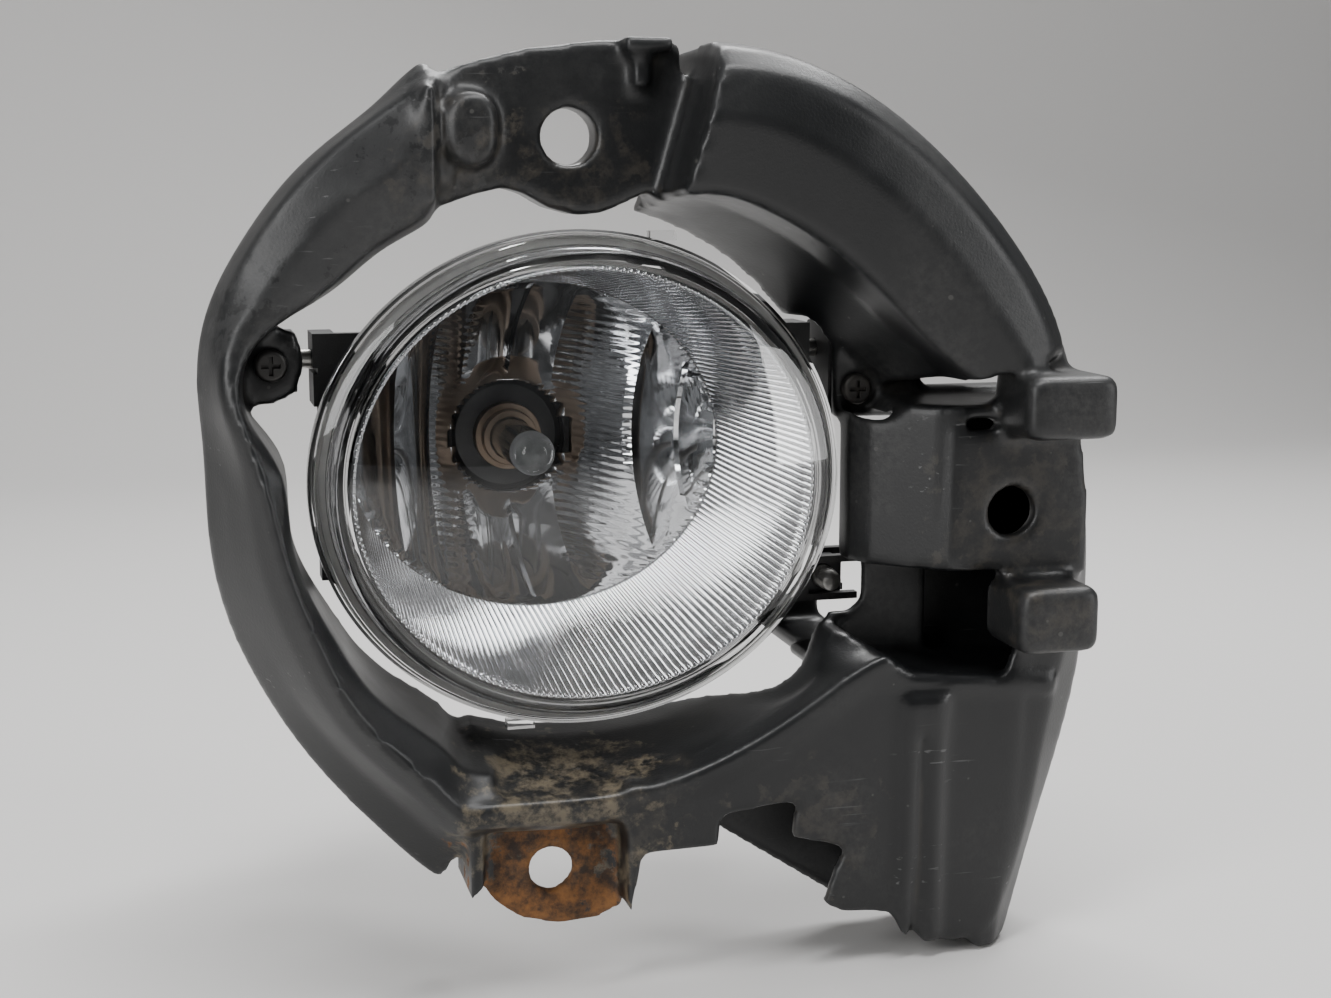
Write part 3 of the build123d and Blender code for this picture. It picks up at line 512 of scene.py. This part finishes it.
soft_rubber, tree, shader, where = new_material("soft black rubber")
wear = place_group(tree, road_wear, {"Where": where}, Dust=0.6, Grain_Size=0.6)
tone = add_mix(tree, wear.outputs["Tone"], (0.010, 0.010, 0.010, 1), (0.028, 0.027, 0.026, 1))
tree.links.new(tone, shader.inputs["Base Color"])
tree.links.new(add_range(tree, wear.outputs["Tone"], 0.3, 0.7, 0.6, 0.78), shader.inputs["Roughness"])
add_bump(tree, shader, wear.outputs["Height"], 0.3, 0.15 * mm)
eased_copy("breather_cap", "vent_cap", soft_rubber, "lamp", 0.3 * mm)

# Base seal. A moulded ring of the same black rubber, stretched into the groove of the bulb
# base and squeezed against the housing's neck.

RING_R, RING_Y, RING_WIDE, RING_DEEP, RING_STEPS = 13.3, 56.3, 1.2, 1.1, 12
ring_curve = [(RING_R + RING_WIDE * cos(t * 2 * pi / RING_STEPS),
               RING_Y + RING_DEEP * sin(t * 2 * pi / RING_STEPS)) for t in range(RING_STEPS)]
bm = spun(ring_curve, 72, BULB_X, BULB_Z)
make_piece("base_ring_seal", bm, soft_rubber, "bulb", ["bulb_seal"], 60.0)

# Collar of the reflector. The bowl's own moulding carries on behind its hole as a short
# tube left dark, masked from the metal coating, that slips into the housing's neck.

collar = [(12.9, 45.4), (13.1, 45.1), (14.2, 45.1), (14.4, 45.4), (14.4, 48.4), (14.2, 48.6), (13.1, 48.6)]
make_piece("bowl_collar", spun(collar, 96, BULB_X, BULB_Z), housing_black, "lamp")

# Bulb glass. A clear quartz tube, thin walled and closed at its tip, because ordinary glass
# would soften next to the hot coil.

quartz, tree, shader, where = new_material("clear quartz")
film = add_noise(tree, where, 300.0, 3.0)
tree.links.new(add_mix(tree, film, (0.95, 0.96, 0.97, 1), (1, 1, 1, 1)), shader.inputs["Base Color"])
tree.links.new(add_range(tree, film, 0.4, 0.8, 0.0, 0.03), shader.inputs["Roughness"])
shader.inputs["Transmission Weight"].default_value = 1.0
shader.inputs["IOR"].default_value = 1.46
make_piece("quartz_tube", cad_copy("bulb_glass"), quartz, "bulb", ["bulb_glass"])

# Tip paint. Grey heat-proof paint baked on the outside of the tip, which keeps the coil's
# glare from going straight ahead.

TIP_R, TIP_Y, TIP_DOME, TIP_END, PAINT = 4.65, 10.95, 4.0, 17.6, 0.04
TIP_STEPS = 8

tip_grey, tree, shader, where = new_material("baked grey tip paint")
film = add_noise(tree, where, 900.0, 4.0)
grey = add_mix(tree, film, (0.16, 0.165, 0.17, 1), (0.30, 0.305, 0.31, 1))
tree.links.new(grey, shader.inputs["Base Color"])
tree.links.new(add_range(tree, film, 0.3, 0.7, 0.35, 0.55), shader.inputs["Roughness"])
add_bump(tree, shader, film, 0.3, 0.1 * mm)
tip_curve = [(TIP_R * sin(step * pi / (2 * TIP_STEPS)),
              TIP_Y + TIP_DOME * (1.0 - cos(step * pi / (2 * TIP_STEPS)))) for step in range(TIP_STEPS + 1)]
paint = [*tip_curve, (TIP_R, TIP_END), (TIP_R - PAINT, TIP_END)]
paint += [(max(r - PAINT, 0.0), y + PAINT) for r, y in tip_curve[::-1]]
make_piece("tip_paint", spun(paint, 48, BULB_X, BULB_Z), tip_grey, "bulb")

# Filament. Fine tungsten wire wound in an open coil. The two stiff wires that hold it are the
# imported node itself, given the same metal.

COILS, COIL_STEPS, COIL_PITCH = 10, 14, 0.45 * mm
COIL_R, COIL_Y, WIRE_R = 0.58 * mm, 22.2 * mm, 0.11 * mm

tungsten, tree, shader, where = new_material("dull tungsten")
haze = add_noise(tree, where, 2000.0, 2.0)
tree.links.new(add_mix(tree, haze, (0.22, 0.21, 0.20, 1), (0.42, 0.41, 0.40, 1)), shader.inputs["Base Color"])
tree.links.new(add_range(tree, haze, 0.3, 0.7, 0.3, 0.5), shader.inputs["Roughness"])
shader.inputs["Metallic"].default_value = 1.0
bm = bmesh.new()
coil = bmesh.ops.create_circle(bm, segments=6, radius=WIRE_R)["verts"]
bmesh.ops.translate(bm, vec=(COIL_R, COIL_Y, 0), verts=coil)
bmesh.ops.spin(bm, geom=[*bm.verts, *bm.edges], cent=(0, 0, 0), axis=(0, 1, 0),
               dvec=(0, COIL_PITCH / COIL_STEPS, 0), angle=2 * pi * COILS, steps=COILS * COIL_STEPS)
bmesh.ops.holes_fill(bm, edges=[e for e in bm.edges if e.is_boundary], sides=8)
bmesh.ops.recalc_face_normals(bm, faces=bm.faces)
bmesh.ops.translate(bm, vec=(BULB_X, 0, BULB_Z), verts=bm.verts)
make_piece("filament_coil", bm, tungsten, "bulb", ["bulb_filament"])
nodes["bulb_leads"].data.materials.clear()
nodes["bulb_leads"].data.materials.append(tungsten)

# Foot plug. Pale fired ceramic that closes the foot of the glass and keeps the two wires
# apart.

pale_plug, tree, shader, where = new_material("pale ceramic")
tone = add_noise(tree, where, 500.0, 4.0)
tree.links.new(add_mix(tree, tone, (0.34, 0.27, 0.20, 1), (0.55, 0.48, 0.40, 1)), shader.inputs["Base Color"])
tree.links.new(add_range(tree, tone, 0.3, 0.7, 0.5, 0.7), shader.inputs["Roughness"])
add_bump(tree, shader, tone, 0.3, 0.1 * mm)
make_piece("ceramic_plug", cad_copy("bulb_pinch"), pale_plug, "bulb", ["bulb_pinch"])

# Foot sleeve. A thin steel cup drawn round the plug and tinted brown by the bulb's heat. The
# plain zinc plated steel beside it is for the pins and the aiming screw further down.

bright_steel, tree, shader, where = new_material("zinc plated steel")
wear = place_group(tree, road_wear, {"Where": where}, Dust=0.4, Grain_Size=0.5)
tone = add_mix(tree, wear.outputs["Tone"], (0.36, 0.35, 0.33, 1), (0.60, 0.59, 0.57, 1))
tone = add_mix(tree, add_maths(tree, "MULTIPLY", wear.outputs["Dust Mask"], 0.4), tone, (0.25, 0.2, 0.15, 1))
tree.links.new(tone, shader.inputs["Base Color"])
tree.links.new(add_range(tree, wear.outputs["Tone"], 0.3, 0.7, 0.22, 0.42), shader.inputs["Roughness"])
shader.inputs["Metallic"].default_value = 1.0
add_bump(tree, shader, wear.outputs["Height"], 0.2, 0.08 * mm)
warm_sleeve, tree, shader, where = new_material("heat tinted sleeve")
tone = add_noise(tree, where, 420.0, 4.0)
warmth = add_mix(tree, tone, (0.17, 0.12, 0.085, 1), (0.36, 0.29, 0.23, 1))
tree.links.new(warmth, shader.inputs["Base Color"])
tree.links.new(add_range(tree, tone, 0.3, 0.7, 0.3, 0.5), shader.inputs["Roughness"])
shader.inputs["Metallic"].default_value = 1.0
eased_copy("foot_sleeve", "bulb_ferrule", warm_sleeve, "bulb", 0.2 * mm)

# Bulb base. A satin black moulding that carries the bayonet lugs at its front and the plug
# socket below, and grips the sleeve in its middle.

base_black, tree, shader, where = new_material("satin black bulb base")
wear = place_group(tree, road_wear, {"Where": where}, Dust=0.4, Grain_Size=0.9)
tone = add_mix(tree, wear.outputs["Tone"], (0.014, 0.014, 0.015, 1), (0.034, 0.034, 0.036, 1))
tone = add_mix(tree, add_maths(tree, "MULTIPLY", wear.outputs["Dust Mask"], 0.4), tone, (0.2, 0.19, 0.17, 1))
tree.links.new(tone, shader.inputs["Base Color"])
tree.links.new(add_range(tree, wear.outputs["Tone"], 0.3, 0.7, 0.28, 0.42), shader.inputs["Roughness"])
add_bump(tree, shader, wear.outputs["Height"], 0.25, 0.12 * mm)
eased_copy("twist_base", "bulb_base", base_black, "bulb", 0.3 * mm)

# Socket blades. Two strips stamped from brass and tinned, so that they don't corrode in
# their plug.

tinned, tree, shader, where = new_material("tinned brass blades")
tone = add_noise(tree, where, 700.0, 3.0)
tree.links.new(add_mix(tree, tone, (0.55, 0.48, 0.33, 1), (0.74, 0.70, 0.60, 1)), shader.inputs["Base Color"])
tree.links.new(add_range(tree, tone, 0.3, 0.7, 0.2, 0.4), shader.inputs["Roughness"])
shader.inputs["Metallic"].default_value = 1.0
eased_copy("socket_blades", "bulb_terminals", tinned, "bulb", 0.12 * mm)

# Tilt pins. Two zinc plated steel pins, turned in a lathe and held in the clamp blocks, that
# the arms of the housing swing on.

eased_copy("tilt_pins", "pivot_pins", bright_steel, "bracket", 0.3 * mm)

# Ear screws. Blackened steel screws driven from the front through the bracket's ears into
# the clamp blocks.

dark_steel, tree, shader, where = new_material("blackened steel")
wear = place_group(tree, road_wear, {"Where": where}, Dust=0.6, Grain_Size=0.5)
tone = add_mix(tree, wear.outputs["Tone"], (0.035, 0.034, 0.033, 1), (0.10, 0.098, 0.095, 1))
tone = add_mix(tree, add_maths(tree, "MULTIPLY", wear.outputs["Dust Mask"], 0.5), tone, (0.22, 0.17, 0.12, 1))
tree.links.new(tone, shader.inputs["Base Color"])
tree.links.new(add_range(tree, wear.outputs["Tone"], 0.3, 0.7, 0.35, 0.55), shader.inputs["Roughness"])
shader.inputs["Metallic"].default_value = 0.9
add_bump(tree, shader, wear.outputs["Height"], 0.25, 0.08 * mm)
eased_copy("ear_screw_pair", "ear_screws", dark_steel, "bracket", 0.12 * mm)

# Screw clip. A ring of blackened spring steel that keeps the aiming screw from sliding in
# the bracket's lug.

eased_copy("lug_clip", "aim_clip", dark_steel, "screw", 0.12 * mm)

# Aiming screw. Zinc plated steel with a rolled thread and a hexagon head behind the lug. Its
# plain shank is thinned to the root of the thread, and the ridge is wound round it.

AIM_X, AIM_Z = 58.7 * mm, -26.3 * mm
PITCH, THREAD_STEPS = 1.25, 20
THREAD_FROM, THREAD_TO, SHANK_END = 9.4, 31.6, 32.4 * mm
ROOT_SHARE = 0.86
bm = cad_copy("aim_screw")
shank = [v for v in bm.verts if v.co.y < SHANK_END]
bmesh.ops.scale(bm, vec=(ROOT_SHARE, 1, ROOT_SHARE), verts=shank,
                space=Matrix.Translation((-AIM_X, 0, -AIM_Z)))
turns = int((THREAD_TO - THREAD_FROM) / PITCH)
ridge = [bm.verts.new((AIM_X + r * mm, (THREAD_FROM + y) * mm, AIM_Z))
         for r, y in ((2.05, 0.1), (2.48, 0.5), (2.48, 0.65), (2.05, 1.05))]
ridge_edges = [bm.edges.new(pair) for pair in zip(ridge, ridge[1:] + ridge[:1])]
bmesh.ops.spin(bm, geom=[*ridge, *ridge_edges], cent=(AIM_X, 0, AIM_Z), axis=(0, 1, 0),
               dvec=(0, PITCH * mm / THREAD_STEPS, 0), angle=2 * pi * turns, steps=turns * THREAD_STEPS)
bmesh.ops.holes_fill(bm, edges=[e for e in bm.edges if e.is_boundary], sides=6)
make_piece("aiming_screw", bm, bright_steel, "screw", ["aim_screw"], 30.0)

# Aiming nut. A square nut of slick black plastic that the screw draws to and fro, and that
# pushes the housing's fork with it.

eased_copy("aiming_nut", "aim_nut", base_black, "nut", 0.3 * mm)

# Studio. A pale floor that sweeps up behind, large soft lights, and the camera.

FLOOR_Z = cad_box[0][2] - 0.3 * mm
SWEEP_HALF, SWEEP_R, SWEEP_HIGH = 1.6, 0.4, 1.6

pale_floor, tree, shader, where = new_material("pale studio floor")
shader.inputs["Base Color"].default_value = (0.62, 0.61, 0.60, 1)
shader.inputs["Roughness"].default_value = 0.85
bm = bmesh.new()
bmesh.ops.create_grid(bm, x_segments=1, y_segments=1, size=SWEEP_HALF)
bmesh.ops.translate(bm, vec=(0, -0.9, FLOOR_Z), verts=bm.verts)
far_edge = [e for e in bm.edges if all(v.co.y > 0.6 for v in e.verts)]
bmesh.ops.spin(bm, geom=[*far_edge, *far_edge[0].verts], cent=(0, 0.7, FLOOR_Z + SWEEP_R),
               axis=(1, 0, 0), angle=pi / 2, steps=16)
top_edge = sorted(bm.edges, key=lambda e: -sum(v.co.z for v in e.verts))[0]
wall_top = bmesh.ops.extrude_edge_only(bm, edges=[top_edge])["geom"]
top_verts = [v for v in wall_top if isinstance(v, bmesh.types.BMVert)]
bmesh.ops.translate(bm, vec=(0, 0, SWEEP_HIGH), verts=top_verts)
floor_mesh = bpy.data.meshes.new("studio_sweep")
for face in bm.faces:
    face.smooth = True
bm.to_mesh(floor_mesh)
bm.free()
floor_mesh.materials.append(pale_floor)
sweep = bpy.data.objects.new("studio_sweep", floor_mesh)
bpy.context.scene.collection.objects.link(sweep)


def soft_light(name, place, aim, width, height, watts, tint=(1, 1, 1)):
    """A rectangular soft light at place, turned to aim."""
    lamp = bpy.data.lights.new(name, "AREA")
    lamp.shape = "RECTANGLE"
    lamp.size, lamp.size_y, lamp.energy, lamp.color = width, height, watts, tint
    holder = bpy.data.objects.new(name, lamp)
    holder.location = place
    holder.rotation_euler = (Vector(aim) - Vector(place)).to_track_quat("-Z", "Y").to_euler()
    bpy.context.scene.collection.objects.link(holder)


soft_light("overhead strip", (0.1, -0.25, 0.9), (0, 0, 0), 0.9, 0.12, 9.0)
soft_light("rear strip", (0.25, 0.45, 0.65), (0, 0, 0.05), 0.7, 0.12, 8.0)
soft_light("left window", (-0.8, -0.55, 0.35), (0, 0, 0), 0.35, 0.7, 6.0)
soft_light("right fill", (0.9, -0.6, 0.25), (0, 0, 0), 0.2, 0.8, 3.5)

studio = bpy.data.worlds.new("studio")
studio.use_nodes = True
tree = studio.node_tree
backdrop = tree.nodes["Background"]
glance = tree.nodes.new("ShaderNodeTexCoord").outputs["Generated"]
upness = tree.nodes.new("ShaderNodeSeparateXYZ")
tree.links.new(glance, upness.inputs[0])
sky = add_range(tree, upness.outputs["Z"], -0.25, 0.75, 0.05, 0.62)
behind = add_range(tree, upness.outputs["Y"], -0.5, 0.6, 0.34, 1.0)
bands = add_range(tree, add_noise(tree, glance, 3.2, 2.0), 0.40, 0.60, 0.35, 1.35)
tree.links.new(add_maths(tree, "MULTIPLY", add_maths(tree, "MULTIPLY", sky, behind), bands),
               backdrop.inputs["Strength"])
backdrop.inputs["Color"].default_value = (0.97, 0.985, 1.0, 1)
bpy.context.scene.world = studio

CAMERA_AT = Vector((-84.5, -388.6, 61.8)) * mm
VIEW_AZIMUTH, VIEW_ELEVATION = radians(-14.8), radians(9.4)
eye = bpy.data.cameras.new("main view")
eye.lens = 52.2
eye.sensor_width = 36.0
eye.clip_start = 0.01
camera = bpy.data.objects.new("main view", eye)
back = Vector((sin(VIEW_AZIMUTH) * cos(VIEW_ELEVATION), -cos(VIEW_AZIMUTH) * cos(VIEW_ELEVATION),
               sin(VIEW_ELEVATION)))
camera.location = CAMERA_AT
camera.rotation_euler = back.to_track_quat("Z", "Y").to_euler()
bpy.context.scene.collection.objects.link(camera)
bpy.context.scene.camera = camera
